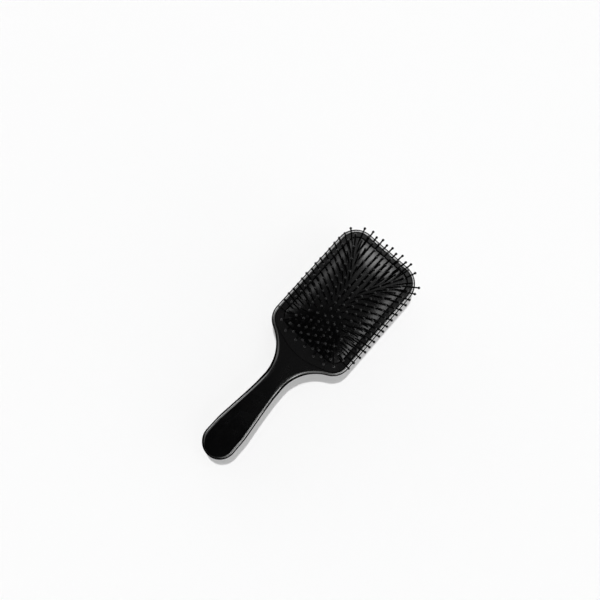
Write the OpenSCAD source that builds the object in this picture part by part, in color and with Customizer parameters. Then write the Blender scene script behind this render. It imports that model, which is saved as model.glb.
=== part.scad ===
// Paddle hair brush with ball-tipped pins on a sprung rubber air cushion.
// It lies on its back: X runs across the head, Y from the handle to the head, Z out of the pins.
// The origin is on the table, at the middle of the brush. All sizes are in millimetres.

/* [Body] */
// Length from the handle end to the top of the head
body_length = 245; // [235:1:265]
// Thickness from the flat back to the face
body_thickness = 14; // [13:0.5:18]
// How far the soft edge round the face is drawn in
face_edge_inset = 3; // [2:0.1:3.1]
// How far the soft edge falls below the face
face_edge_drop = 2.7; // [2:0.1:4]
// Power of the soft edge's curve, from a full round towards a plain bevel
face_edge_power = 1.4; // [1.3:0.1:2]
// How far the rounded back edge is drawn in
back_edge_inset = 8; // [5:0.5:9]
// How high the rounded back edge rises
back_edge_rise = 7; // [5:0.5:8]
// How far the back of the neck lifts off the table
neck_lift = 2.5; // [0:0.1:4]
// Length of the lift on either side of the neck
neck_lift_reach = 42; // [30:1:44]

/* [Handle] */
// Radius of the handle end
handle_end_radius = 16; // [14:0.25:17]
// Radius of the swell that fills the palm
palm_radius = 15.75; // [14:0.25:16]
// Distance of the palm swell from the handle end
palm_distance = 30; // [24:1:38]
// Width of the neck at its narrowest
neck_width = 21.4; // [19:0.2:24]
// Radius of the long hollow on the handle side of the neck
neck_handle_radius = 200; // [150:10:240]
// Radius of the hollow on the head side of the neck
neck_head_radius = 40; // [34:1:46]

/* [Head] */
// Width of the head across its shoulders
head_width = 86; // [84:0.5:92]
// How much narrower the head is across its top corners
head_taper = 0.6; // [0:0.1:3]
// Distance from the top of the head to the widest line of the shoulders
head_length = 107; // [102:1:112]
// Radius of the shoulders
shoulder_radius = 18; // [15:0.5:20]
// Radius of the top corners
top_corner_radius = 20; // [16:0.5:22]
// Thickness of the floor below the air chamber
chamber_floor = 2.5; // [2:0.1:4]

/* [Cushion frame] */
// Width of the body's rim around the frame
rim_width = 3.5; // [3.4:0.1:4]
// Thickness of the frame
frame_thickness = 2.5; // [2:0.1:3]
// Gap between the frame and its seat
frame_gap = 0.35; // [0.2:0.05:0.4]
// Bevel on the frame's outer edge
frame_bevel = 0.2; // [0.1:0.05:0.5]
// Width of the frame on either side of the opening
frame_side_width = 5.5; // [5:0.1:7]
// How far the opening reaches below the widest line of the shoulders
opening_drop = 6.4; // [4:0.2:8]
// Corner radius of the opening
opening_corner_radius = 11; // [9:0.5:13]
// Distance from the top of the head to the opening
opening_top_margin = 7.6; // [7:0.1:9]
// Width of the steep bevel on the edge of the opening
opening_bevel = 0.5; // [0.4:0.1:1]
// Depth of the steep bevel on the edge of the opening
opening_bevel_depth = 0.9; // [0.8:0.1:1.2]
// How far the frame's rounded tongue reaches below the opening
tongue_length = 14.4; // [12:0.2:16]
// Radius of the tongue's end
tongue_radius = 52; // [47:1:56]
// Diameter of the pegs that hold the frame
peg_diameter = 2; // [1.6:0.1:2.2]
// Length of the pegs below the frame
peg_length = 4; // [3:0.2:5]
// Gap round and below a peg in its socket
peg_gap = 0.05; // [0.02:0.01:0.1]
// Distance between the pegs along each side
peg_pitch = 36; // [30:1:40]
// Distance from the middle to each peg in the tongue
tongue_peg_offset = 14; // [8:1:18]

/* [Cushion] */
// Height of the cushion's crown above the face
crown_height = 7; // [4:0.5:8]
// How far the edge of the dome lies below the face
dome_edge_depth = 1; // [0.5:0.1:1.2]
// Power of the crown's curve along the head
crown_power = 2.4; // [2:0.1:3]
// How square the level lines of the crown are, from an oval to the opening's own shape
crown_squareness = 8; // [7:0.5:9]
// Thickness of the rubber
cushion_wall = 1; // [0.8:0.05:1.1]
// Gap between the cushion and the edge of the opening
cushion_gap = 0.2; // [0.15:0.05:0.3]
// Width of the flange that the frame clamps, beyond the opening
flange_width = 1.8; // [1.4:0.1:2]
// Thickness of the flange
flange_thickness = 1.5; // [1.2:0.1:2]
// Gap round the flange in its seat
flange_gap = 0.05; // [0.03:0.01:0.1]
// Diameter of the vent that lets the air out of the chamber
vent_diameter = 1.6; // [1.2:0.1:2]
// Thickness of the sheet behind the pin heads
sheet_thickness = 0.5; // [0.4:0.1:0.8]
// Gap between the sheet's edge and the cushion
sheet_gap = 0.4; // [0.3:0.05:0.6]

/* [Pins] */
// Number of pin columns across the cushion
pin_columns = 13; // [11:2:13]
// Number of pin rows along the cushion
pin_rows = 35; // [29:2:35]
// Distance from the outer columns to the side of the opening
pin_side_margin = 2.6; // [2.4:0.1:3.5]
// Distance from the first and last rows to the end of the opening
pin_end_margin = 2.75; // [2.5:0.05:4]
// Least distance from a pin to the rounded corner of the opening
pin_corner_margin = 1.8; // [1.6:0.1:2.4]
// Length of a pin above the cushion, with its ball
pin_length = 23.5; // [16:0.5:25]
// Diameter of a pin where it leaves the cushion
pin_root_diameter = 1.7; // [1.4:0.1:1.8]
// Diameter of a pin below its ball
pin_neck_diameter = 1.4; // [1:0.1:1.6]
// Diameter of the ball on a pin's tip
pin_ball_diameter = 2.4; // [2:0.1:2.8]
// Diameter of the flat head behind the rubber
pin_head_diameter = 2.2; // [2:0.1:2.4]
// Thickness of the flat head
pin_head_thickness = 0.7; // [0.5:0.1:0.9]
// Gap round a pin in its hole
pin_hole_gap = 0.05; // [0.03:0.01:0.1]
// Gap between the flat head, the rubber in front and the sheet behind
pin_head_gap = 0.2; // [0.15:0.05:0.3]

/* [Hidden] */
$fn = 32;
// Largest step along an arc of an outline, in degrees
arc_step = 7.5;
// Fewest steps along an arc
arc_least_steps = 3;
// Lengths below this count as none: arcs touch there, and points lie on the middle line
no_length = 0.05;
// How far cutters reach past the faces that they cut
overcut = 1;

// Heights of the faces, from the table up
face_z = body_thickness;
frame_seat_z = face_z - frame_thickness;
flange_seat_z = frame_seat_z - flange_thickness - 2 * flange_gap;

// Ends of the body and of the opening along the brush
handle_end_y = -body_length / 2;
head_top_y = body_length / 2;
shoulder_y = head_top_y - head_length;
opening_top_y = head_top_y - opening_top_margin;
opening_bottom_y = shoulder_y - opening_drop;
opening_length = opening_top_y - opening_bottom_y;
opening_y = (opening_top_y + opening_bottom_y) / 2;
tongue_end_y = opening_bottom_y - tongue_length;

// Widths across the top of the head and the opening
head_top_width = head_width - head_taper;
opening_width = head_width - 2 * (rim_width + frame_side_width);

// The hollow of the neck runs straight into the round of the shoulder
shoulder_reach = (head_width - neck_width) / 2;
curve_sum = neck_head_radius + shoulder_radius;
neck_y = shoulder_y - sqrt(shoulder_reach * (2 * curve_sum - shoulder_reach));

// An outline is a chain of circles on its right half, from the bottom up, joined by tangents.
// Each circle is [x, y, radius, steps of the straight run that follows], with a hollow's radius below 0.
body_chain = [
    [0, handle_end_y + handle_end_radius, handle_end_radius, 2],
    [0, handle_end_y + palm_distance, palm_radius, 4],
    [neck_width / 2 + neck_handle_radius, neck_y, -neck_handle_radius, 1],
    [neck_width / 2 + neck_head_radius, neck_y, -neck_head_radius, 1],
    [head_width / 2 - shoulder_radius, shoulder_y, shoulder_radius, 1],
    [head_top_width / 2 - top_corner_radius, head_top_y - top_corner_radius, top_corner_radius, 0]
];
frame_chain = [
    [0, tongue_end_y + tongue_radius, tongue_radius, 1],
    [body_chain[4][0], body_chain[4][1], shoulder_radius - rim_width, 1],
    [body_chain[5][0], body_chain[5][1], top_corner_radius - rim_width, 0]
];
opening_corner_x = opening_width / 2 - opening_corner_radius;
opening_chain = [
    [opening_corner_x, opening_bottom_y + opening_corner_radius, opening_corner_radius, 1],
    [opening_corner_x, opening_top_y - opening_corner_radius, opening_corner_radius, 0]
];

// Rounded edges of the body, as [how far the outline is drawn in, height]
face_edge_steps = 5;
back_edge_steps = 6;
body_profile = concat(
    [for (i = [0:back_edge_steps])
        let (a = 90 * i / back_edge_steps)
        [back_edge_inset * (1 - sin(a)), back_edge_rise * (1 - cos(a))]],
    [for (i = [0:face_edge_steps])
        let (a = 90 * i / face_edge_steps)
        [face_edge_inset * (1 - pow(cos(a), face_edge_power)),
         face_z - face_edge_drop * (1 - pow(sin(a), face_edge_power))]]
);

// Sizes of the cushion's dome, and the rings and edge steps of its faces
tiny = 1e-9;
dome_edge_z = face_z - dome_edge_depth;
dome_rise = crown_height + dome_edge_depth;
dome_half_width = opening_width / 2 - cushion_gap;
dome_half_length = opening_length / 2 - cushion_gap;
dome_rings = [0.95, 0.86, 0.72, 0.54, 0.34, 0.14];
dome_side_steps = 6;
dome_end_steps = 4;
// The sheet lies this far below the dome, clear of the pin heads where the dome is steepest
dome_steepest = atan(2 * dome_rise / dome_half_width);
sheet_drop = (cushion_wall + pin_head_thickness + 2 * pin_head_gap) / cos(dome_steepest);

// Pattern of the pins: each row holds every other column, and the next row the columns between
column_pitch = (opening_width - 2 * pin_side_margin) / (pin_columns - 1);
row_pitch = (opening_length - 2 * pin_end_margin) / (pin_rows - 1);
last_column = (pin_columns - 1) / 2;

moulded_black = [0.07, 0.07, 0.075];
frame_black = [0.1, 0.1, 0.105];
rubber_black = [0.14, 0.14, 0.145];
sheet_grey = [0.35, 0.35, 0.36];
pin_black = [0.05, 0.05, 0.055];

function pin_row_name(row) = str("pin_row_", row < 9 ? "0" : "", row + 1);

// Direction of the outline's normal on the tangent from one circle of a chain to the next
function run_angle(a, b) =
    let (cosine = (a[2] - b[2]) / norm([b[0] - a[0], b[1] - a[1]]))
    atan2(b[1] - a[1], b[0] - a[0]) - acos(max(-1, min(1, cosine)));
function run_length(a, b) =
    sqrt(max(0, pow(b[0] - a[0], 2) + pow(b[1] - a[1], 2) - pow(a[2] - b[2], 2)));
function on_circle(c, angle, inset) =
    [c[0] + (c[2] - inset) * cos(angle), c[1] + (c[2] - inset) * sin(angle)];

// Points of one circle of a chain, and of the straight run after it
function chain_points(chain, i, inset) =
    let (
        last = len(chain) - 1,
        first_angle = i == 0 ? -90 : run_angle(chain[i - 1], chain[i]),
        last_angle = i == last ? 90 : run_angle(chain[i], chain[i + 1]),
        turn = last_angle - first_angle,
        steps = max(arc_least_steps, ceil(abs(turn) / arc_step)),
        touches = i > 0 && run_length(chain[i - 1], chain[i]) < no_length,
        arc_end = on_circle(chain[i], last_angle, inset),
        run_end = i == last ? arc_end : on_circle(chain[i + 1], last_angle, inset)
    )
    concat(
        [for (k = [touches ? 1 : 0:steps]) on_circle(chain[i], first_angle + turn * k / steps, inset)],
        [for (k = [1:1:chain[i][3] - 1]) arc_end + (run_end - arc_end) * k / chain[i][3]]
    );
function half_outline(chain, inset) =
    [for (i = [0:len(chain) - 1]) each chain_points(chain, i, inset)];

// Closed outline: the right half upwards, then its mirror image downwards
function outline(chain, inset) =
    let (half = half_outline(chain, inset), last = len(half) - 1)
    concat(half, [for (i = [last:-1:0]) if (abs(half[i][0]) > no_length) [-half[i][0], half[i][1]]]);

// Solid through rings of equal count, from the lowest up, closed by strips across the first and last
module loft(rings) {
    n = len(rings[0]);
    top = (len(rings) - 1) * n;
    on_axis = abs(rings[0][0][0]) < no_length;
    last = on_axis ? (n - 1) / 2 : n / 2 - 1;
    function partner(i) = on_axis ? (n - i) % n : n - 1 - i;
    polyhedron(
        points = [for (ring = rings) each ring],
        faces = concat(
            [for (j = [0:len(rings) - 2], i = [0:n - 1])
                let (a = j * n + i, b = j * n + (i + 1) % n)
                each [[a, a + n, b], [b, a + n, b + n]]],
            [for (i = [0:last - 1]) [i, i + 1, partner(i + 1)]],
            [for (i = [0:last - 1]) if (partner(i) != i) [i, partner(i + 1), partner(i)]],
            [for (i = [0:last - 1]) [top + i, top + partner(i + 1), top + i + 1]],
            [for (i = [0:last - 1]) if (partner(i) != i) [top + i, top + partner(i), top + partner(i + 1)]]
        )
    );
}

// Thin solid between two poles, through rings that run from the first pole out and back to the second
module shell(first_pole, rings, last_pole) {
    n = len(rings[0]);
    last_ring = 1 + (len(rings) - 1) * n;
    polyhedron(
        points = concat([first_pole], [for (ring = rings) each ring], [last_pole]),
        faces = concat(
            [for (i = [0:n - 1]) [0, 1 + (i + 1) % n, 1 + i]],
            [for (j = [0:len(rings) - 2], i = [0:n - 1])
                let (a = 1 + j * n + i, b = 1 + j * n + (i + 1) % n)
                each [[a, b, a + n], [b, b + n, a + n]]],
            [for (i = [0:n - 1]) [last_ring + n, last_ring + i, last_ring + (i + 1) % n]]
        )
    );
}

function at_height(points, z) = [for (p = points) [p[0], p[1], z]];

// The back of the neck rises in a smooth wave, and the face above it stays level
function lift(y) = neck_lift * (1 + cos(180 * min(1, abs(y - neck_y) / neck_lift_reach))) / 2;
function body_ring(inset, z) =
    [for (p = outline(body_chain, inset)) [p[0], p[1], z + lift(p[1]) * (1 - z / face_z)]];

// Pegs stand midway between the flange's seat and the frame's edge
side_peg_x = (opening_width / 2 + flange_width + head_top_width / 2 - rim_width) / 2;
tongue_peg_y = (opening_bottom_y - flange_width + tongue_end_y) / 2;
peg_places = concat(
    [for (side = [-1, 1], step = [-1:1]) [side * side_peg_x, opening_y + step * peg_pitch]],
    [for (side = [-1, 1]) [side * tongue_peg_offset, tongue_peg_y]]
);

module pegs(diameter, below, above) {
    for (place = peg_places)
        translate([place[0], place[1], frame_seat_z - below])
            cylinder(d = diameter, h = below + above);
}

// A pocket cut down from above, to a floor at the height z
module pocket(chain, widening, z, depth) {
    translate([0, 0, z])
        linear_extrude(depth)
            polygon(outline(chain, -widening));
}

// Handle and head in one moulding, with the seats for the frame and flange above the air chamber
module paddle_body() {
    color(moulded_black)
        difference() {
            loft([for (edge = body_profile) body_ring(edge[0], edge[1])]);
            pocket(frame_chain, frame_gap, frame_seat_z, frame_thickness + overcut);
            pocket(opening_chain, flange_width + flange_gap, flange_seat_z, flange_thickness + overcut);
            pocket(opening_chain, 0, chamber_floor, face_z);
            pegs(peg_diameter + 2 * peg_gap, peg_length + peg_gap, overcut);
        }
}

// Flat frame, flush with the face, whose pegs press into the body and whose edge clamps the flange
module cushion_frame() {
    color(frame_black) {
        difference() {
            loft([
                at_height(outline(frame_chain, 0), frame_seat_z),
                at_height(outline(frame_chain, 0), face_z - frame_bevel),
                at_height(outline(frame_chain, frame_bevel), face_z)
            ]);
            pocket(opening_chain, 0, frame_seat_z - overcut, frame_thickness + 2 * overcut);
            loft([
                at_height(outline(opening_chain, 0), face_z - opening_bevel_depth),
                at_height(outline(opening_chain, -2 * opening_bevel), face_z + opening_bevel_depth)
            ]);
        }
        pegs(peg_diameter, peg_length, frame_thickness / 2);
    }
}

// Height of the cushion's dome, whose level lines follow the opening, and the direction square to it
function dome_across(x) = abs(x) / dome_half_width;
function dome_along(y) = abs(y - opening_y) / dome_half_length;
function dome_sum(x, y) =
    pow(dome_across(x), crown_squareness) + pow(dome_along(y), crown_power / 2 * crown_squareness);
function dome_z(x, y) = dome_edge_z + dome_rise * (1 - pow(dome_sum(x, y), 2 / crown_squareness));
function dome_normal(x, y) =
    let (
        steepness = dome_rise * pow(max(dome_sum(x, y), tiny), 2 / crown_squareness - 1),
        across = 2 * pow(dome_across(x), crown_squareness - 1) / dome_half_width,
        along = crown_power * pow(dome_along(y), crown_power / 2 * crown_squareness - 1) / dome_half_length
    )
    [steepness * across * sign(x), steepness * along * sign(y - opening_y), 1];

// Outline of the cushion with extra points on its straight sides, where the dome still curves
function cushion_chain() = [
    [opening_chain[0][0], opening_chain[0][1], opening_chain[0][2], dome_side_steps],
    opening_chain[1]
];
function cushion_outline(inset) =
    let (
        loop = outline(cushion_chain(), inset),
        n = len(loop),
        top = n / 2 - 1
    )
    concat(
        [for (i = [0:top]) loop[i]],
        [for (k = [1:dome_end_steps - 1]) loop[top] + (loop[top + 1] - loop[top]) * k / dome_end_steps],
        [for (i = [top + 1:n - 1]) loop[i]],
        [for (k = [1:dome_end_steps - 1]) loop[n - 1] + (loop[0] - loop[n - 1]) * k / dome_end_steps]
    );
// Ring of the dome: the outline drawn towards the middle by a share, at a depth below the dome
function dome_ring(inset, share, depth) =
    [for (p = cushion_outline(inset))
        let (x = p[0] * share, y = opening_y + (p[1] - opening_y) * share)
        [x, y, dome_z(x, y) - depth]];
function dome_middle(depth) = [0, opening_y, dome_edge_z + dome_rise - depth];

// Hole through the middle of the dome, down to a depth below it
module vent(depth) {
    translate(dome_middle(depth + overcut))
        cylinder(d = vent_diameter, h = depth + 2 * overcut);
}

// Hollow rubber dome with a flange below the frame, pierced for the pins and the vent
module cushion() {
    flange_low_z = flange_seat_z + flange_gap;
    flange_high_z = frame_seat_z - flange_gap;
    inner = cushion_gap + cushion_wall;
    color(rubber_black)
        difference() {
            shell(
                dome_middle(0),
                concat(
                    [for (i = [len(dome_rings) - 1:-1:0]) dome_ring(cushion_gap, dome_rings[i], 0)],
                    [dome_ring(cushion_gap, 1, 0)],
                    [at_height(cushion_outline(cushion_gap), flange_high_z)],
                    [at_height(cushion_outline(-flange_width), flange_high_z)],
                    [at_height(cushion_outline(-flange_width), flange_low_z)],
                    [at_height(cushion_outline(inner), flange_low_z)],
                    [dome_ring(inner, 1, cushion_wall)],
                    [for (share = dome_rings) dome_ring(inner, share, cushion_wall)]
                ),
                dome_middle(cushion_wall)
            );
            vent(cushion_wall);
            for (row = [0:pin_rows - 1])
                for (place = pin_places(row))
                    at_pin(place)
                        translate([0, 0, -2 * cushion_wall])
                            cylinder(d = pin_root_diameter + 2 * pin_hole_gap, h = 3 * cushion_wall);
        }
}

// Thin sheet behind the flat heads, which keeps the pins from being pushed in
module backing_sheet() {
    edge = cushion_gap + cushion_wall + sheet_gap;
    low = sheet_drop + sheet_thickness;
    color(sheet_grey)
        difference() {
            shell(
                dome_middle(sheet_drop),
                concat(
                    [for (i = [len(dome_rings) - 1:-1:1]) dome_ring(edge, dome_rings[i], sheet_drop)],
                    [dome_ring(edge, 1, sheet_drop)],
                    [dome_ring(edge, 1, low)],
                    [for (i = [1:len(dome_rings) - 1]) dome_ring(edge, dome_rings[i], low)]
                ),
                dome_middle(low)
            );
            vent(low);
        }
}

// A pin keeps clear of the opening's rounded corners
function clear_of_corner(x, y) =
    let (
        dx = abs(x) - opening_corner_x,
        dy = abs(y - opening_y) - opening_length / 2 + opening_corner_radius
    )
    dx < 0 || dy < 0 || norm([dx, dy]) < opening_corner_radius - pin_corner_margin;
function pin_places(row) =
    let (y = opening_y + (row - (pin_rows - 1) / 2) * row_pitch)
    [for (column = [-last_column + row % 2:2:last_column])
        let (x = column * column_pitch)
        if (clear_of_corner(x, y)) [x, y]];

// Stands its children square to the dome, with their origin on the rubber
module at_pin(place) {
    normal = dome_normal(place[0], place[1]);
    translate([place[0], place[1], dome_z(place[0], place[1])])
        rotate([0, acos(1 / norm(normal)), atan2(normal[1], normal[0])])
            children();
}

// Moulded pin: flat head behind the rubber, root in its hole, tapered shaft and ball tip
module pin() {
    head_top = -cushion_wall - pin_head_gap;
    ball_radius = pin_ball_diameter / 2;
    translate([0, 0, head_top - pin_head_thickness])
        cylinder(d = pin_head_diameter, h = pin_head_thickness);
    translate([0, 0, head_top - pin_head_thickness / 2])
        cylinder(d = pin_root_diameter, h = pin_head_thickness / 2 - head_top);
    cylinder(d1 = pin_root_diameter, d2 = pin_neck_diameter, h = pin_length - ball_radius);
    translate([0, 0, pin_length - ball_radius])
        sphere(d = pin_ball_diameter);
}

module pin_row(row) {
    color(pin_black)
        for (place = pin_places(row))
            at_pin(place) pin();
}

paddle_body();
cushion_frame();
cushion();
backing_sheet();
for (row = [0:pin_rows - 1])
    pin_row(row);
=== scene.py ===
from functools import partial
import math
import bmesh
import bpy
from mathutils import Matrix


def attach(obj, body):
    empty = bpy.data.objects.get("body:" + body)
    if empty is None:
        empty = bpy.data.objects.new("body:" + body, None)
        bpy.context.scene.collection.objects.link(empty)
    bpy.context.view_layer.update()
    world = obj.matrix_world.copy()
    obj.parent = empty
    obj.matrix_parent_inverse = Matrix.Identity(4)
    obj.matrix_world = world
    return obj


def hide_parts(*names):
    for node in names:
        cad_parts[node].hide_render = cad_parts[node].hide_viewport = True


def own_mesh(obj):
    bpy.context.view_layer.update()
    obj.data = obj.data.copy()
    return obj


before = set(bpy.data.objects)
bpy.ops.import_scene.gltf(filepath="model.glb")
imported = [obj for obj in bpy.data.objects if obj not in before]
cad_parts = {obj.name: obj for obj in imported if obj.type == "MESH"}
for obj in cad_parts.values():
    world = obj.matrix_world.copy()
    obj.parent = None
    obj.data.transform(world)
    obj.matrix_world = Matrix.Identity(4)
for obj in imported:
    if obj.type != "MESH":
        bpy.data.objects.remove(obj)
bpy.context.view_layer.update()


# Paddle body: handle and head of the brush in one injection moulding of black ABS.
# Its face edge is soft and widens where the neck flares, its back edge is fuller, and the neck's
# back lifts. A stepped pocket in the head takes the frame, the cushion's flange and the air below.
mm = 0.001
face_z = 14 * mm
frame_seat_z = 11.5 * mm
flange_seat_z = 9.9 * mm
chamber_floor_z = 2.5 * mm
handle_end_y = -122.5 * mm
head_top_y = 122.5 * mm
shoulder_y = 15.5 * mm
neck_y = -36.51 * mm
opening_bottom_y = 9.1 * mm
opening_top_y = 114.9 * mm
rim_width = 3.5 * mm
handle_end_radius = 16 * mm
handle_side_radius = 15.75 * mm
handle_side_y = handle_end_y + 30 * mm
neck_half_width = 10.7 * mm
handle_hollow_radius = 200 * mm
flare_hollow_radius = 40 * mm
shoulder_x = 25 * mm
shoulder_radius = 18 * mm
head_corner_x = 22.7 * mm
head_corner_radius = 20 * mm
tongue_y = opening_bottom_y - 14.4 * mm
tongue_radius = 52 * mm
opening_corner_x = 23 * mm
opening_corner_radius = 11 * mm

# The right half of an outline is a chain of circles (x, y, radius) joined by tangents.
# A hollow has a radius below 0.
body_chain = [
    (0, handle_end_y + handle_end_radius, handle_end_radius),
    (0, handle_side_y, handle_side_radius),
    (neck_half_width + handle_hollow_radius, neck_y, -handle_hollow_radius),
    (neck_half_width + flare_hollow_radius, neck_y, -flare_hollow_radius),
    (shoulder_x, shoulder_y, shoulder_radius),
    (head_corner_x, head_top_y - head_corner_radius, head_corner_radius),
]
frame_chain = [
    (0, tongue_y + tongue_radius, tongue_radius),
    (shoulder_x, shoulder_y, shoulder_radius - rim_width),
    (head_corner_x, head_top_y - head_corner_radius, head_corner_radius - rim_width),
]
opening_chain = [
    (opening_corner_x, opening_bottom_y + opening_corner_radius, opening_corner_radius),
    (opening_corner_x, opening_top_y - opening_corner_radius, opening_corner_radius),
]
touching = 0.05 * mm


def tangent_angle(a, b):
    """The angle at which the tangent that joins two circles of a chain leaves the first."""
    apart = math.hypot(b[0] - a[0], b[1] - a[1])
    lean = math.acos(max(-1, min(1, (a[2] - b[2]) / apart)))
    return math.atan2(b[1] - a[1], b[0] - a[0]) - lean


def outline(chain, inset=0.0, arc=math.radians(3.5), run=3 * mm):
    """A closed outline drawn in by inset, with the same count of points at every inset."""
    def on_circle(circle, angle, drawn_in):
        reach = circle[2] - drawn_in
        return circle[0] + reach * math.cos(angle), circle[1] + reach * math.sin(angle)

    def on_line(a, b, length):
        count = max(1, math.ceil(length / run))
        return [(a[0] + (b[0] - a[0]) * k / count, a[1] + (b[1] - a[1]) * k / count)
                for k in range(1, count)]

    half = []
    angle = -math.pi / 2
    if chain[0][0] > 0:
        start = on_circle(chain[0], angle, inset)
        foot = (0.0, start[1])
        half += [foot] + on_line(foot, start, chain[0][0])
    touches = False
    for i, circle in enumerate(chain):
        last = i == len(chain) - 1
        end_angle = math.pi / 2 if last else tangent_angle(circle, chain[i + 1])
        steps = max(2, math.ceil(abs(end_angle - angle) / arc))
        half += [on_circle(circle, angle + (end_angle - angle) * k / steps, inset)
                 for k in range(1 if touches else 0, steps + 1)]
        angle = end_angle
        if not last:
            length = math.dist(on_circle(circle, angle, 0), on_circle(chain[i + 1], angle, 0))
            touches = length < touching
            half += on_line(half[-1], on_circle(chain[i + 1], angle, inset), length)
    top = half[-1]
    if top[0] > touching:
        peak = (0.0, top[1])
        half += on_line(top, peak, chain[-1][0]) + [peak]
    return half + [(-x, y) for x, y in reversed(half) if x > touching]


def add_ring(mesh, points):
    return [mesh.verts.new(p) for p in points]


def flat_ring(mesh, chain, inset, z):
    return add_ring(mesh, [(x, y, z) for x, y in outline(chain, inset)])


def round_ring(mesh, place, radius, z, sides=16):
    turn = 2 * math.pi / sides
    return add_ring(mesh, [(place[0] + radius * math.cos(k * turn),
                            place[1] + radius * math.sin(k * turn), z) for k in range(sides)])


def join_rings(mesh, *rings, finish=0):
    for low, high in zip(rings, rings[1:]):
        for i in range(len(low)):
            mesh.faces.new((low[i - 1], low[i], high[i], high[i - 1])).material_index = finish


def fill_between(mesh, *loops):
    """Flat faces inside the first loop and round the others."""
    sides = [(loop[i - 1], loop[i]) for loop in loops for i in range(len(loop))]
    edges = [mesh.edges.get(side) or mesh.edges.new(side) for side in sides]
    bmesh.ops.triangle_fill(mesh, edges=edges, use_beauty=True)


def smooth_piece(name, mesh, crease=math.radians(34)):
    """Turns a closed bmesh into an object with smooth soft edges and crisp creases."""
    bmesh.ops.recalc_face_normals(mesh, faces=mesh.faces)
    data = bpy.data.meshes.new(name)
    mesh.to_mesh(data)
    mesh.free()
    data.shade_smooth()
    data.set_sharp_from_angle(angle=crease)
    piece = bpy.data.objects.new(name, data)
    bpy.context.scene.collection.objects.link(piece)
    return piece


neck_lift = 2.5 * mm
neck_lift_reach = 42 * mm
flare_y = -30 * mm
flare_reach = 28 * mm
flare_widening = 0.7


def swell(y, middle, reach):
    """A smooth swell along the brush: 1 at its middle, 0 from its reach outwards."""
    return (1 + math.cos(math.pi * min(1, abs(y - middle) / reach))) / 2


def body_ring(mesh, inset, z, widening=0.0):
    """A ring of the body: the inset widens where the neck flares, and the neck's back lifts."""
    points = []
    wider = outline(body_chain, inset * (1 + widening))
    for plain, wide in zip(outline(body_chain, inset), wider):
        flare = swell(plain[1], flare_y, flare_reach)
        x, y = plain[0] + (wide[0] - plain[0]) * flare, plain[1] + (wide[1] - plain[1]) * flare
        lift = neck_lift * swell(y, neck_y, neck_lift_reach)
        points.append((x, y, z + lift * (1 - z / face_z)))
    return add_ring(mesh, points)


def quarter_turn(steps):
    return [math.pi / 2 * k / steps for k in range(steps + 1)]


back_round_in, back_round_up = 8 * mm, 7 * mm
face_round_in, face_round_down = 3 * mm, 2.7 * mm
face_round_power = 1.4
face_flat_in = face_round_in + 0.05 * mm
back_steps, face_steps = 14, 19
back_edge = [(back_round_in * (1 - math.sin(a)), back_round_up * (1 - math.cos(a)))
             for a in quarter_turn(back_steps)]
face_edge = [(face_round_in * (1 - math.cos(a) ** face_round_power),
              face_z - face_round_down * (1 - math.sin(a) ** face_round_power))
             for a in quarter_turn(face_steps)] + [(face_flat_in, face_z)]
shape = bmesh.new()
body_rings = [body_ring(shape, inset, z) for inset, z in back_edge]
body_rings += [body_ring(shape, inset, z, flare_widening) for inset, z in face_edge]

# Finishes: gloss face and back, satin side walls, a matt strip above them and a polished edge.
gloss, matt, satin, polished = range(4)
strip_rings, polish_rings = 10, 9
wall_foot = back_steps
wall_top = wall_foot + 1
strip_top = wall_top + strip_rings
polish_top = strip_top + polish_rings
for first, last, finish in (
        (0, wall_foot, gloss), (wall_foot, wall_top, satin), (wall_top, strip_top, matt),
        (strip_top, polish_top, polished), (polish_top, len(body_rings) - 1, gloss)):
    join_rings(shape, *body_rings[first:last + 1], finish=finish)

# The matt strip reaches higher round the handle's end and the head's top.
strip_top_z = face_z - 0.94 * mm
handle_extra, handle_extra_y = 0.64 * mm, -107 * mm
head_extra, head_extra_y = 0.28 * mm, 98 * mm
extra_run = 10 * mm
for face in shape.faces:
    middle = face.calc_center_median()
    matt_z = strip_top_z + handle_extra * max(0, min(1, (handle_extra_y - middle.y) / extra_run))
    matt_z += head_extra * max(0, min(1, (middle.y - head_extra_y) / extra_run))
    if face.material_index == polished and middle.z < matt_z:
        face.material_index = matt

# The flat back: a triangle at the handle's end, a strip of quads, one face at the straight top.
level_within = 0.001 * mm
back = body_rings[0]
straight_y = back[len(back) // 2].co.y - level_within
below_straight = next(i for i, point in enumerate(back) if point.co.y > straight_y) - 1
shape.faces.new((back[-1], back[1], back[0]))
for i in range(1, below_straight):
    shape.faces.new((back[-i], back[-i - 1], back[i + 1], back[i]))
shape.faces.new(back[below_straight:len(back) - below_straight + 1])

# The pocket's steps and the sockets for the frame's pegs.
frame_gap = 0.35 * mm
seat_gap = 0.05 * mm
flange_reach = 1.8 * mm
peg_radius = 1 * mm
peg_length = 4 * mm
side_peg_x, side_peg_y, side_peg_pitch = 37.5 * mm, 62 * mm, 36 * mm
tongue_peg_x, tongue_peg_y = 14 * mm, 1 * mm
peg_places = [(side * side_peg_x, side_peg_y + step * side_peg_pitch)
              for side in (-1, 1) for step in (-1, 0, 1)]
peg_places += [(side * tongue_peg_x, tongue_peg_y) for side in (-1, 1)]
socket_floor_z = frame_seat_z - peg_length - seat_gap
frame_pocket = [flat_ring(shape, frame_chain, -frame_gap, z) for z in (face_z, frame_seat_z)]
flange_pocket = [flat_ring(shape, opening_chain, -flange_reach - seat_gap, z)
                 for z in (frame_seat_z, flange_seat_z)]
chamber = [flat_ring(shape, opening_chain, 0, z) for z in (flange_seat_z, chamber_floor_z)]
sockets = [[round_ring(shape, place, peg_radius + seat_gap, z)
            for z in (frame_seat_z, socket_floor_z)] for place in peg_places]
for walls in [frame_pocket, flange_pocket, chamber] + sockets:
    join_rings(shape, *walls)
fill_between(shape, body_rings[-1], frame_pocket[0])
fill_between(shape, frame_pocket[1], flange_pocket[0], *[socket[0] for socket in sockets])
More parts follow.
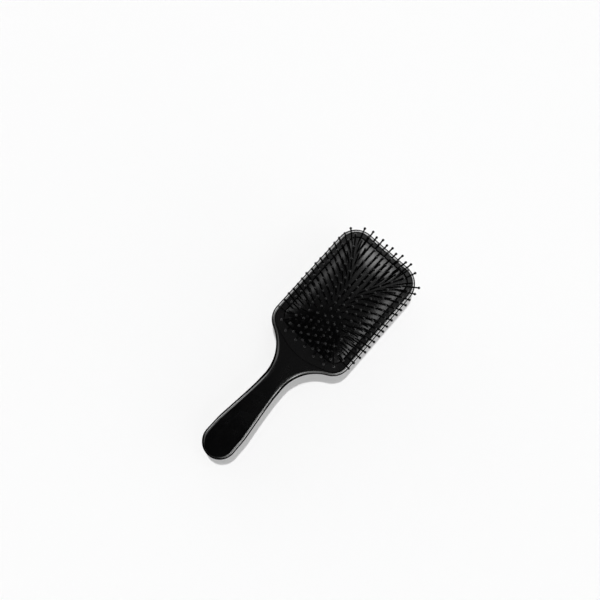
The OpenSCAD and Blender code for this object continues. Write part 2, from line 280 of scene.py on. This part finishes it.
fill_between(shape, flange_pocket[1], chamber[0])
for floor_ring in [chamber[1]] + [socket[1] for socket in sockets]:
    fill_between(shape, floor_ring)
paddle_body = smooth_piece("paddle_body_moulding", shape)


def put(tree, kind, inputs=None, **settings):
    """Adds a node; an input takes a plain value or another node's socket."""
    made = tree.nodes.new(kind)
    for key, value in settings.items():
        setattr(made, key, value)
    for key, value in (inputs or {}).items():
        if isinstance(value, bpy.types.NodeSocket):
            tree.links.new(value, made.inputs[key])
        else:
            made.inputs[key].default_value = value
    return made


def sums(tree, operation, *values):
    """A Math node's result."""
    return put(tree, "ShaderNodeMath", dict(enumerate(values)), operation=operation).outputs[0]


def noise(tree, place, scale, detail, roughness=0.5, distortion=0.0):
    """A Noise Texture node's result."""
    return put(tree, "ShaderNodeTexNoise", {
        "Vector": place, "Scale": scale, "Detail": detail,
        "Roughness": roughness, "Distortion": distortion}).outputs["Fac"]


def stretch(tree, value, low, high, first=0.0, last=1.0, run="LINEAR"):
    """A Map Range node's result: from low to high the value becomes first to last."""
    return put(tree, "ShaderNodeMapRange", {
        "Value": value, "From Min": low, "From Max": high, "To Min": first, "To Max": last},
        interpolation_type=run).outputs["Result"]


# What moulding and hands leave on plastic: a faint orange peel, a fine grain, smudges, hairlines.
skin = bpy.data.node_groups.new("moulded_skin", "ShaderNodeTree")
skin.interface.new_socket("Vector", in_out="INPUT", socket_type="NodeSocketVector")
for label in ("Peel Scale", "Grain Scale", "Smudge Scale"):
    skin.interface.new_socket(label, in_out="INPUT", socket_type="NodeSocketFloat")
for label in ("Height", "Smudge", "Hairline"):
    skin.interface.new_socket(label, in_out="OUTPUT", socket_type="NodeSocketFloat")
given = skin.nodes.new("NodeGroupInput").outputs
grain_share = 0.25
peel = noise(skin, given["Vector"], given["Peel Scale"], 2.0)
grain = sums(skin, "MULTIPLY", noise(skin, given["Vector"], given["Grain Scale"], 1.0), grain_share)
greasy = noise(skin, given["Vector"], given["Smudge Scale"], 5.0, roughness=0.62, distortion=0.6)
combed = put(skin, "ShaderNodeMapping", {
    "Vector": given["Vector"], "Rotation": (0.0, 0.0, 0.35), "Scale": (2600.0, 55.0, 900.0)})
hair = noise(skin, combed.outputs["Vector"], 1.0, 1.0)
put(skin, "NodeGroupOutput", {
    "Height": sums(skin, "ADD", peel, grain),
    "Smudge": stretch(skin, greasy, 0.42, 0.68),
    "Hairline": stretch(skin, hair, 0.70, 0.78)})


def new_material(name):
    """A new material with its node tree, its surface sockets, and the place on the object."""
    material = bpy.data.materials.new(name)
    material.use_nodes = True
    tree = material.node_tree
    place = put(tree, "ShaderNodeTexCoord").outputs["Object"]
    return material, tree, tree.nodes["Principled BSDF"].inputs, place


def between_colours(tree, factor, first, second):
    """A colour Mix node's result; its colour sockets are numbers 6 and 7, after other kinds."""
    return put(tree, "ShaderNodeMix", {0: factor, 6: first, 7: second}, data_type="RGBA").outputs[2]


def dress(tree, surface, colour, roughness, height, depth, strength=1.0):
    """Joins a colour, a roughness and a relief to a surface."""
    tree.links.new(colour, surface["Base Color"])
    tree.links.new(roughness, surface["Roughness"])
    bump = put(tree, "ShaderNodeBump", {"Height": height, "Distance": depth, "Strength": strength})
    tree.links.new(bump.outputs["Normal"], surface["Normal"])


def moulded_plastic(name, colour, worn, clean, smudged, peel_depth, peel, grain, smudge, **shine):
    """Black moulded plastic: its roughness clean and smudged, and the sizes of its skin."""
    material, tree, surface, place = new_material(name)
    look = put(tree, "ShaderNodeGroup", {
        "Vector": place, "Peel Scale": peel, "Grain Scale": grain, "Smudge Scale": smudge},
        node_tree=skin).outputs
    dress(tree, surface, between_colours(tree, look["Hairline"], colour, worn),
          stretch(tree, look["Smudge"], 0.0, 1.0, clean, smudged), look["Height"], peel_depth)
    surface["IOR"].default_value = 1.5
    surface["Coat Roughness"].default_value = 0.16
    for label, value in shine.items():
        surface[label].default_value = value
    return material


gloss_black, gloss_worn = (0.0012, 0.0012, 0.0013, 1), (0.005, 0.005, 0.0052, 1)
side_black, side_worn = (0.0030, 0.0030, 0.0031, 1), (0.006, 0.006, 0.0062, 1)
lacquer = {"Coat Weight": 1.0}
body_black = moulded_plastic(
    "body_black_plastic", gloss_black, gloss_worn, clean=0.20, smudged=0.30,
    peel_depth=0.006 * mm, peel=380.0, grain=5200.0, smudge=48.0, **lacquer)
side_matt = moulded_plastic(
    "body_matt_side", side_black, side_worn, clean=0.66, smudged=0.78,
    peel_depth=0.02 * mm, peel=900.0, grain=6400.0, smudge=48.0, **{"Specular IOR Level": 0.0})
side_satin = moulded_plastic(
    "body_satin_side", side_black, side_worn, clean=0.42, smudged=0.52,
    peel_depth=0.012 * mm, peel=700.0, grain=5600.0, smudge=48.0, **{"Specular IOR Level": 0.32})
edge_gloss = moulded_plastic(
    "body_polished_edge", gloss_black, gloss_worn, clean=0.20, smudged=0.28,
    peel_depth=0.006 * mm, peel=380.0, grain=5200.0, smudge=48.0,
    **lacquer, **{"Coat IOR": 2.2, "Specular IOR Level": 1.0})
for material in (body_black, side_matt, side_satin, edge_gloss):
    paddle_body.data.materials.append(material)
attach(paddle_body, "paddle")
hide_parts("paddle_body")


# Cushion frame: a flat ring of black plastic with matt edges, and a rounded tongue to the handle.
# It lies flush in the face, held by eight pegs that press into the body.
# Its inner edge clamps the cushion's flange on the ledge.
frame_round = 0.35 * mm
frame_round_steps = 4
slope_foot_z = 13.1 * mm
slope_out = 0.5 * mm
flat_margin = 0.03 * mm
shape = bmesh.new()
outer = [flat_ring(shape, frame_chain, 0, frame_seat_z)]
outer += [flat_ring(shape, frame_chain, frame_round * (1 - math.cos(a)),
                    face_z - frame_round * (1 - math.sin(a)))
          for a in quarter_turn(frame_round_steps)]
outer.append(flat_ring(shape, frame_chain, frame_round + flat_margin, face_z))
inner = [flat_ring(shape, opening_chain, inset, z) for inset, z in (
    (0, frame_seat_z), (0, slope_foot_z), (-slope_out, face_z), (-slope_out - flat_margin, face_z))]
pegs = [[round_ring(shape, place, peg_radius, z) for z in (frame_seat_z, frame_seat_z - peg_length)]
        for place in peg_places]
for walls in (outer, inner):
    join_rings(shape, *walls, finish=matt)
for peg in pegs:
    join_rings(shape, *peg)
fill_between(shape, outer[-1], inner[-1])
fill_between(shape, outer[0], inner[0], *[peg[0] for peg in pegs])
for peg in pegs:
    fill_between(shape, peg[1])
cushion_frame = smooth_piece("cushion_frame_ring", shape)
frame_black = moulded_plastic(
    "frame_black_plastic", (0.0016, 0.0016, 0.0017, 1), gloss_worn, clean=0.22, smudged=0.31,
    peel_depth=0.006 * mm, peel=430.0, grain=4200.0, smudge=62.0, **lacquer)
for material in (frame_black, side_matt):
    cushion_frame.data.materials.append(material)
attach(cushion_frame, "paddle")
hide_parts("cushion_frame")


# Pin places: the staggered field that the pins and the rims of their holes share, every other
# crossing of a grid within rounded corners. Each place knows the direction square to the crowned
# rubber, with a pin's slight lean in soft rubber and a set lean of the last two rows.
opening_y = (opening_bottom_y + opening_top_y) / 2
dome_half_width = 33.8 * mm
dome_half_length = 52.7 * mm
dome_edge_z = 13 * mm
dome_rise = 8 * mm
crown_power = 2.4
crown_squareness = 8.0
rows = 35
place_sizes = {
    "Columns": 13, "Rows": rows, "Column Pitch": 31.4 / 6 * mm, "Row Pitch": 2.95 * mm,
    "Corner Across": 23 * mm, "Corner Along": 41.9 * mm, "Corner Reach": 9.2 * mm,
    "Half Width": dome_half_width, "Half Length": dome_half_length, "Middle": opening_y,
    "Dome Edge": dome_edge_z, "Dome Rise": dome_rise,
    "Crown Power": crown_power, "Squareness": crown_squareness,
    "Lean": 0.03, "End Lean": 0.05, "Seed": 11,
}


def node_tree(name, inputs):
    """An empty Geometry Nodes tree that takes and gives a mesh, with named inputs for its sizes."""
    tree = bpy.data.node_groups.new(name, "GeometryNodeTree")
    for end in ("INPUT", "OUTPUT"):
        tree.interface.new_socket("Geometry", in_out=end, socket_type="NodeSocketGeometry")
    for label, value in inputs.items():
        kind = "NodeSocketInt" if isinstance(value, int) else "NodeSocketFloat"
        tree.interface.new_socket(label, in_out="INPUT", socket_type=kind)
    return tree, tree.nodes.new("NodeGroupInput").outputs, tree.nodes.new("NodeGroupOutput").inputs


places, size, made = node_tree("pin_places", place_sizes)
calc = partial(sums, places)
grid = put(places, "GeometryNodeMeshGrid", {
    "Size X": calc("MULTIPLY", size["Column Pitch"], calc("SUBTRACT", size["Columns"], 1.0)),
    "Size Y": calc("MULTIPLY", size["Row Pitch"], calc("SUBTRACT", size["Rows"], 1.0)),
    "Vertices X": size["Columns"], "Vertices Y": size["Rows"]}).outputs["Mesh"]
position = put(places, "GeometryNodeInputPosition").outputs[0]
spot = put(places, "ShaderNodeSeparateXYZ", {0: position}).outputs
from_middle_x, from_middle_y = calc("ABSOLUTE", spot["X"]), calc("ABSOLUTE", spot["Y"])

# Places left out: every second crossing, and those past the rounded corners.
column = calc("ROUND", calc("DIVIDE", spot["X"], size["Column Pitch"]))
row = calc("ROUND", calc("DIVIDE", spot["Y"], size["Row Pitch"]))
skipped = calc("MODULO", calc("ABSOLUTE", calc("ADD", calc("ADD", column, row), 1.0)), 2.0)
past_across = calc("MAXIMUM", calc("SUBTRACT", from_middle_x, size["Corner Across"]), 0.0)
past_along = calc("MAXIMUM", calc("SUBTRACT", from_middle_y, size["Corner Along"]), 0.0)
past = calc("SQRT", calc("ADD", calc("POWER", past_across, 2.0), calc("POWER", past_along, 2.0)))
left_out = calc("MAXIMUM", calc("GREATER_THAN", skipped, 0.5),
                calc("GREATER_THAN", past, size["Corner Reach"]))
kept = put(places, "GeometryNodeDeleteGeometry", {"Geometry": grid, "Selection": left_out},
           domain="POINT").outputs[0]

# The dome's height and slopes at each place.
across = calc("DIVIDE", from_middle_x, size["Half Width"])
along = calc("DIVIDE", from_middle_y, size["Half Length"])
end_power = calc("MULTIPLY", calc("MULTIPLY", size["Crown Power"], 0.5), size["Squareness"])
total = calc("ADD", calc("POWER", across, size["Squareness"]), calc("POWER", along, end_power))
flatten = calc("DIVIDE", 2.0, size["Squareness"])
fallen = calc("POWER", total, flatten)
height = calc("MULTIPLY_ADD", size["Dome Rise"], calc("SUBTRACT", 1.0, fallen), size["Dome Edge"])
steepness = calc("POWER", calc("MAXIMUM", total, 1e-9), calc("SUBTRACT", flatten, 1.0))


def slope(power, distance, exponent, half, side):
    """The dome's slope along one axis, with the sign of the side that the place is on."""
    raised = calc("MULTIPLY", power, calc("POWER", distance, calc("SUBTRACT", exponent, 1.0)))
    steep = calc("MULTIPLY", steepness, calc("DIVIDE", raised, half))
    return calc("MULTIPLY", steep, calc("SIGN", side))


slope_across = slope(2.0, across, size["Squareness"], size["Half Width"], spot["X"])
slope_along = slope(size["Crown Power"], along, end_power, size["Half Length"], spot["Y"])

# The second-last row leans out by the end lean, and the last row back by half of it.
last_row = (rows - 1) / 2
last_row_swing = -1.5
end_rows = calc("MULTIPLY_ADD", calc("GREATER_THAN", row, last_row - 0.5), last_row_swing,
                calc("GREATER_THAN", row, last_row - 1.5))
end_lean = calc("MULTIPLY", size["End Lean"], end_rows)
square = put(places, "ShaderNodeCombineXYZ", {
    "X": calc("MULTIPLY", slope_across, size["Dome Rise"]),
    "Y": calc("MULTIPLY_ADD", slope_along, size["Dome Rise"], end_lean), "Z": 1.0}).outputs[0]
shake = put(places, "FunctionNodeRandomValue", {
    0: (-1.0, -1.0, 0.0), 1: (1.0, 1.0, 0.0), "Seed": size["Seed"]},
    data_type="FLOAT_VECTOR").outputs[0]
lean = put(places, "ShaderNodeVectorMath", {0: shake, "Scale": size["Lean"]},
           operation="SCALE").outputs[0]
stand = put(places, "ShaderNodeVectorMath", {0: square, 1: lean}, operation="ADD").outputs[0]
aimed = put(places, "GeometryNodeStoreNamedAttribute", {
    "Geometry": kept, "Name": "stand", "Value": stand},
    data_type="FLOAT_VECTOR", domain="POINT").outputs[0]
offset = put(places, "ShaderNodeCombineXYZ", {"Y": size["Middle"], "Z": height}).outputs[0]
risen = put(places, "GeometryNodeSetPosition", {"Geometry": aimed, "Offset": offset}).outputs[0]
places.links.new(risen, made["Geometry"])


def stand_on_places(tree, size, shape_socket):
    """Copies a shape to every pin place, standing square to the rubber, as plain mesh."""
    points = put(tree, "GeometryNodeGroup", {label: size[label] for label in place_sizes},
                 node_tree=places).outputs[0]
    stand = put(tree, "GeometryNodeInputNamedAttribute", {"Name": "stand"},
                data_type="FLOAT_VECTOR").outputs[0]
    turn = put(tree, "FunctionNodeAlignRotationToVector", {"Vector": stand}, axis="Z").outputs[0]
    copies = put(tree, "GeometryNodeInstanceOnPoints", {
        "Points": points, "Instance": shape_socket, "Rotation": turn}).outputs[0]
    return put(tree, "GeometryNodeRealizeInstances", {0: copies}).outputs[0]


def make_mesh(piece, tree, values):
    """Runs a tree on a piece with its sizes, and leaves the piece as the mesh that comes out."""
    modifier = piece.modifiers.new(tree.name, "NODES")
    modifier.node_group = tree
    for socket in tree.interface.items_tree:
        if socket.in_out == "INPUT" and socket.name in values:
            modifier[socket.identifier] = values[socket.name]
    run = piece.evaluated_get(bpy.context.evaluated_depsgraph_get())
    result_mesh = bpy.data.meshes.new_from_object(run)
    piece.modifiers.clear()
    piece.data = result_mesh


# Cushion: the hollow dome of black rubber that the pins stand in, crowned by the air below it.
# It is moulded in one with its flange, which the frame clamps all round, and has a vent.
# The rubber stands up a little round each pin, where the pin was pushed through.
cushion_gap = 0.2 * mm
cushion_wall = 1 * mm
vent_radius = 0.8 * mm
dome_foot_z = 12.4 * mm
dome_steps = 30
flange_top_z = frame_seat_z - seat_gap
flange_bottom_z = flange_seat_z + seat_gap


def dome_height(x, y):
    across = abs(x / dome_half_width) ** crown_squareness
    along = abs((y - opening_y) / dome_half_length) ** (crown_power / 2 * crown_squareness)
    return dome_edge_z + dome_rise * (1 - (across + along) ** (2 / crown_squareness))


def dome_ring(mesh, inset, share, depth):
    """The opening's outline drawn in, then shrunk to a share, at a depth below the dome."""
    points = [(x * share, opening_y + (y - opening_y) * share)
              for x, y in outline(opening_chain, inset)]
    return add_ring(mesh, [(x, y, dome_height(x, y) - depth) for x, y in points])


def vent_ring(mesh, depth):
    """The round edge of the vent, with a point for each point of the opening's outline."""
    points = []
    for x, y in outline(opening_chain):
        shrink = vent_radius / math.hypot(x, y - opening_y)
        points.append((x * shrink, opening_y + (y - opening_y) * shrink))
    return add_ring(mesh, [(x, y, dome_height(x, y) - depth) for x, y in points])


shape = bmesh.new()
shares = [k / dome_steps for k in range(2, dome_steps + 1)]
inner_edge = cushion_gap + cushion_wall
dome = [vent_ring(shape, 0)] + [dome_ring(shape, cushion_gap, share, 0) for share in shares]
flange = [flat_ring(shape, opening_chain, inset, z) for inset, z in (
    (cushion_gap, dome_foot_z), (cushion_gap, flange_top_z), (-flange_reach, flange_top_z),
    (-flange_reach, flange_bottom_z), (inner_edge, flange_bottom_z), (inner_edge, flange_top_z))]
lining = [dome_ring(shape, inner_edge, share, cushion_wall) for share in reversed(shares)]
lining.append(vent_ring(shape, cushion_wall))
join_rings(shape, *dome, *flange, *lining, dome[0])
cushion = smooth_piece("cushion_dome", shape, crease=math.radians(50))

rubber, tree, surface, place = new_material("cushion_black_rubber")
fine = noise(tree, place, 2600.0, 3.0, roughness=0.6)
bloom = stretch(tree, noise(tree, place, 85.0, 4.0, roughness=0.6), 0.4, 0.75)
dress(tree, surface, between_colours(tree, bloom, gloss_black, (0.0026, 0.0026, 0.0027, 1)),
      stretch(tree, bloom, 0.0, 1.0, 0.18, 0.26), fine, depth=0.02 * mm, strength=0.6)
surface["IOR"].default_value = 1.52

rim_sizes = {
    **place_sizes, "Rim Foot": 1.4 * mm, "Rim Top": 1.0 * mm,
    "Rim Height": 0.25 * mm, "Rim Root": 0.25 * mm,
}
rims, size, made = node_tree("cushion_rims", rim_sizes)
cone = put(rims, "GeometryNodeMeshCone", {
    "Vertices": 12, "Radius Top": size["Rim Top"], "Radius Bottom": size["Rim Foot"],
    "Depth": sums(rims, "ADD", size["Rim Height"], size["Rim Root"])}).outputs["Mesh"]
root_z = sums(rims, "MULTIPLY", size["Rim Root"], -1.0)
sunk = put(rims, "ShaderNodeCombineXYZ", {"Z": root_z}).outputs[0]
cone = put(rims, "GeometryNodeTransform", {"Geometry": cone, "Translation": sunk}).outputs[0]
cone = put(rims, "GeometryNodeSetShadeSmooth", {"Geometry": cone, "Shade Smooth": True}).outputs[0]
both = put(rims, "GeometryNodeJoinGeometry")
for part in (stand_on_places(rims, size, cone), size["Geometry"]):
    rims.links.new(part, both.inputs[0])
rubbered = put(rims, "GeometryNodeSetMaterial", {
    "Geometry": both.outputs[0], "Material": rubber}).outputs[0]
rims.links.new(rubbered, made["Geometry"])
make_mesh(cushion, rims, rim_sizes)
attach(cushion, "paddle")
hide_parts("cushion")
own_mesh(cushion)


# Backing sheet: a thin woven sheet that lies behind the flat heads of the pins inside the cushion.
# It is pressed to the dome's form, keeps the pins from being pushed in, and is open below the vent.
sheet_drop = 2.325 * mm
sheet_thickness = 0.5 * mm
sheet_edge = inner_edge + 0.4 * mm
sheet_back = sheet_drop + sheet_thickness
shape = bmesh.new()
upper = [vent_ring(shape, sheet_drop)]
upper += [dome_ring(shape, sheet_edge, share, sheet_drop) for share in shares]
lower = [dome_ring(shape, sheet_edge, share, sheet_back) for share in reversed(shares)]
lower.append(vent_ring(shape, sheet_back))
join_rings(shape, *upper, *lower, upper[0])
backing_sheet = smooth_piece("backing_sheet_weave", shape)

weave, tree, surface, place = new_material("backing_grey_weave")
warp, weft = [put(tree, "ShaderNodeTexWave", {
    "Vector": place, "Scale": 330.0, "Distortion": 0.6, "Detail": 1.0},
    bands_direction=direction).outputs["Fac"] for direction in ("X", "Y")]
threads = sums(tree, "MULTIPLY", warp, weft)
greys = between_colours(tree, threads, (0.045, 0.045, 0.047, 1), (0.16, 0.16, 0.165, 1))
dress(tree, surface, greys, stretch(tree, threads, 0.0, 1.0, 0.95, 0.8),
      threads, depth=0.12 * mm, strength=0.8)
backing_sheet.data.materials.append(weave)
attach(backing_sheet, "pad")
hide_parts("backing_sheet")


# Pins: ball-tipped pins of black nylon, moulded one by one and pushed through from behind.
# Each is one turned form: a flat head behind the rubber, a shaft that tapers from 1.7 mm to 1.4 mm
# where it meets its ball, and the ball.
pin_length = 23.5 * mm
root_radius = 0.85 * mm
neck_radius = 0.7 * mm
ball_radius = 1.2 * mm
head_radius = 1.1 * mm
head_top_z = -1.2 * mm
head_back_z = -1.9 * mm
pin_sides = 10
ball_steps = 7
ball_z = pin_length - ball_radius
neck_angle = math.asin(neck_radius / ball_radius)
ball_angles = [neck_angle + (math.pi - neck_angle) * k / ball_steps for k in range(ball_steps)]
profile = [(head_radius, head_back_z), (head_radius, head_top_z),
           (root_radius, head_top_z), (root_radius, 0)]
profile += [(ball_radius * math.sin(a), ball_z - ball_radius * math.cos(a)) for a in ball_angles]
shape = bmesh.new()
pin_rings = [round_ring(shape, (0, 0), radius, z, pin_sides) for radius, z in profile]
join_rings(shape, *pin_rings)
fill_between(shape, pin_rings[0])
tip = shape.verts.new((0, 0, pin_length))
for i in range(pin_sides):
    shape.faces.new((pin_rings[-1][i - 1], pin_rings[-1][i], tip))
pins = smooth_piece("pins_ball_tipped", shape)
nylon = moulded_plastic(
    "pin_black_nylon", (0.0018, 0.0018, 0.0019, 1), (0.010, 0.010, 0.0105, 1),
    clean=0.22, smudged=0.30, peel_depth=0.004 * mm, peel=1500.0, grain=9000.0, smudge=160.0,
    **{"Specular IOR Level": 0.32})
field, size, made = node_tree("pin_field", place_sizes)
stood = stand_on_places(field, size, size["Geometry"])
blackened = put(field, "GeometryNodeSetMaterial", {"Geometry": stood, "Material": nylon}).outputs[0]
field.links.new(blackened, made["Geometry"])
make_mesh(pins, field, place_sizes)
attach(pins, "pad")
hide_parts(*["pin_row_%02d" % (k + 1) for k in range(35)])


# Table top: a plain sheet of pale paper just under the brush, which takes its shadow.
# It gives off some white to the camera and to reflections, so it looks white in a low light.
table_half = 4
table_z = -0.05 * mm
table_white = 0.358
table_mesh = bmesh.new()
bmesh.ops.create_grid(table_mesh, x_segments=1, y_segments=1, size=table_half,
                      matrix=Matrix.Translation((0, 0, table_z)))
table_data = bpy.data.meshes.new("table_top")
table_mesh.to_mesh(table_data)
table_mesh.free()
table = bpy.data.objects.new("table_top", table_data)
bpy.context.scene.collection.objects.link(table)


def combine(tree, operation, first, *others):
    """Several values taken through the same Math operation, one after another."""
    for other in others:
        first = sums(tree, operation, first, other)
    return first


paper, tree, surface, place = new_material("table_pale_paper")
fibre = noise(tree, place, 900.0, 3.0)
pale = between_colours(tree, fibre, (0.595, 0.595, 0.595, 1), (0.605, 0.605, 0.605, 1))
tree.links.new(pale, surface["Base Color"])
surface["Roughness"].default_value = 0.9
surface["Specular IOR Level"].default_value = 0.2
seen = put(tree, "ShaderNodeLightPath").outputs
white = combine(tree, "MAXIMUM", seen["Is Camera Ray"], seen["Is Glossy Ray"],
                seen["Is Transmission Ray"])
surface["Emission Color"].default_value = (1, 1, 1, 1)
tree.links.new(sums(tree, "MULTIPLY", white, table_white), surface["Emission Strength"])
table_data.materials.append(paper)


# Light: one small hard lamp from the far left draws the crisp shadow, and the pins don't block it.
# The room shows mostly in reflections, as walls, soft boxes and glows on the black edges.
# The camera sees the room as plain white, and so does gloss near the horizon.
scene = bpy.context.scene
scene.view_settings.view_transform = "Standard"
room = bpy.data.worlds.new("room")
room.use_nodes = True
scene.world = room
sky = room.node_tree
calc = partial(sums, sky)
facing = put(sky, "ShaderNodeTexCoord").outputs["Generated"]
towards = put(sky, "ShaderNodeSeparateXYZ", {0: facing}).outputs
right, ahead, up = towards["X"], towards["Y"], towards["Z"]
sideways = calc("ABSOLUTE", right)
rise = partial(stretch, sky, run="SMOOTHSTEP")
beyond_head = (0.0, 0.725, 0.689)
near_right = (0.667, -0.745, 0.0)
ceiling_level, ceiling_power = 0.46, 5.0
diffuse_share = 0.25


def band(height, *levels):
    """Brightness by height above the horizon, from steps of (height, level)."""
    ramp = put(sky, "ShaderNodeValToRGB", {"Fac": height})
    while len(ramp.color_ramp.elements) < len(levels):
        ramp.color_ramp.elements.new(0.5)
    for stop, (place, level) in zip(ramp.color_ramp.elements, levels):
        stop.position = place
        stop.color = (level, level, level, 1)
    return ramp.outputs["Color"]


def agreement(direction):
    """How well a ray agrees with a direction: 1 where it points straight along it."""
    return put(sky, "ShaderNodeVectorMath", {0: facing, 1: direction},
               operation="DOT_PRODUCT").outputs["Value"]


# Pale walls round the horizon, brighter beyond the head than behind the handle.
walls = combine(
    sky, "MULTIPLY", band(up, (0, 1.25), (0.20, 1.25), (0.29, 0.30), (0.42, 0.05), (0.6, 0)),
    rise(calc("MULTIPLY_ADD", right, 0.25, ahead), -0.9, -0.3, 0.08, 3.2))

# A long soft box on either side, stronger on the right and fading behind the handle.
boxes = combine(
    sky, "MULTIPLY", rise(sideways, 0.5, 0.75, 0.0, 1.0), rise(right, -0.8, 0.8, 2.6, 4.2),
    rise(calc("MULTIPLY_ADD", right, 0.5, ahead), -0.45, -0.1, 0.25, 1.0),
    rise(calc("MULTIPLY_ADD", sideways, 0.8, ahead), -0.2, 0.25, 0.15, 1.0),
    band(calc("MULTIPLY_ADD", right, 0.055, up), (0.58, 0), (0.62, 1), (0.66, 1), (0.70, 0)))

# A round glow beyond the head's top, and a dim ceiling with a faint glow over the neck.
head_glow = rise(agreement(beyond_head), 0.985, 0.996, 0.0, 5.8)
ceiling = calc("POWER", rise(ahead, -0.45, 0.45, 0.0, 1.0), ceiling_power)
ceiling = calc("MULTIPLY", ceiling, ceiling_level)
neck_glow = calc("MULTIPLY", rise(ahead, -0.26, -0.06, 0.0, 0.04),
                 rise(ahead, -0.03, 0.14, 1.0, 0.2))

# Glows behind both shoulders, where the neck flares, and one to the left of the handle.
flare_glow = combine(
    sky, "MULTIPLY", rise(ahead, -0.42, -0.24, 1.0, 0.0), rise(ahead, -0.80, -0.68, 0.0, 1.0),
    rise(sideways, 0.25, 0.45, 0.0, 1.0), band(up, (0.34, 0), (0.46, 1), (0.72, 1), (0.88, 0)),
    rise(right, -0.6, 0.6, 0.35, 0.7))
left_glow = combine(
    sky, "MULTIPLY", rise(ahead, -0.22, -0.15, 0.0, 1.0), rise(ahead, -0.08, -0.02, 1.0, 0.0),
    rise(right, -0.65, -0.45, 0.9, 0.0), band(up, (0.38, 0), (0.48, 1), (0.66, 1), (0.80, 0)))

# The near right is shaded, and matt surfaces get a quarter of the light.
low_light = calc("MULTIPLY", combine(sky, "ADD", walls, flare_glow, left_glow),
                 rise(agreement(near_right), 0.72, 0.95, 1.0, 0.35))
light = combine(sky, "ADD", low_light, boxes, head_glow, ceiling, neck_glow)
seen = put(sky, "ShaderNodeLightPath").outputs
dimming = calc("MULTIPLY_ADD", seen["Is Diffuse Ray"], diffuse_share - 1.0, 1.0)
light = calc("MULTIPLY", light, dimming)
low_white = calc("MULTIPLY", seen["Is Glossy Ray"], rise(up, 0.05, 0.14, 1.0, 0.0))
white = combine(sky, "MAXIMUM", low_white, seen["Is Camera Ray"], seen["Is Transmission Ray"])
light = calc("MULTIPLY_ADD", light, calc("SUBTRACT", 1.0, white), white)
sky.links.new(light, sky.nodes["Background"].inputs["Strength"])
sky.nodes["Background"].inputs["Color"].default_value = (1, 1, 1, 1)

lamp = bpy.data.lights.new("key", "SUN")
lamp.energy = 3.08
lamp.angle = math.radians(4)
key = bpy.data.objects.new("key", lamp)
key.location = (-0.485, 0.50, 1.0)
key.rotation_euler = (-key.location).to_track_quat("-Z", "Y").to_euler()
key.visible_camera = False
key.visible_glossy = False
scene.collection.objects.link(key)
key.light_linking.blocker_collection = bpy.data.collections.new("key_blockers")
for piece in (paddle_body, cushion_frame, cushion):
    key.light_linking.blocker_collection.objects.link(piece)


# Camera: a wide lens close above the brush, which shows the pins spreading past the outline.
# It looks almost straight down, with the handle down to the left.
camera_data = bpy.data.cameras.new("camera")
camera_data.sensor_width = 36
camera_data.lens = 22.66
camera = bpy.data.objects.new("camera", camera_data)
camera.location = (-0.012, 0.0084, 0.355)
camera.rotation_euler = (math.radians(5.224), math.radians(-0.467), math.radians(41.849))
scene.collection.objects.link(camera)
scene.camera = camera
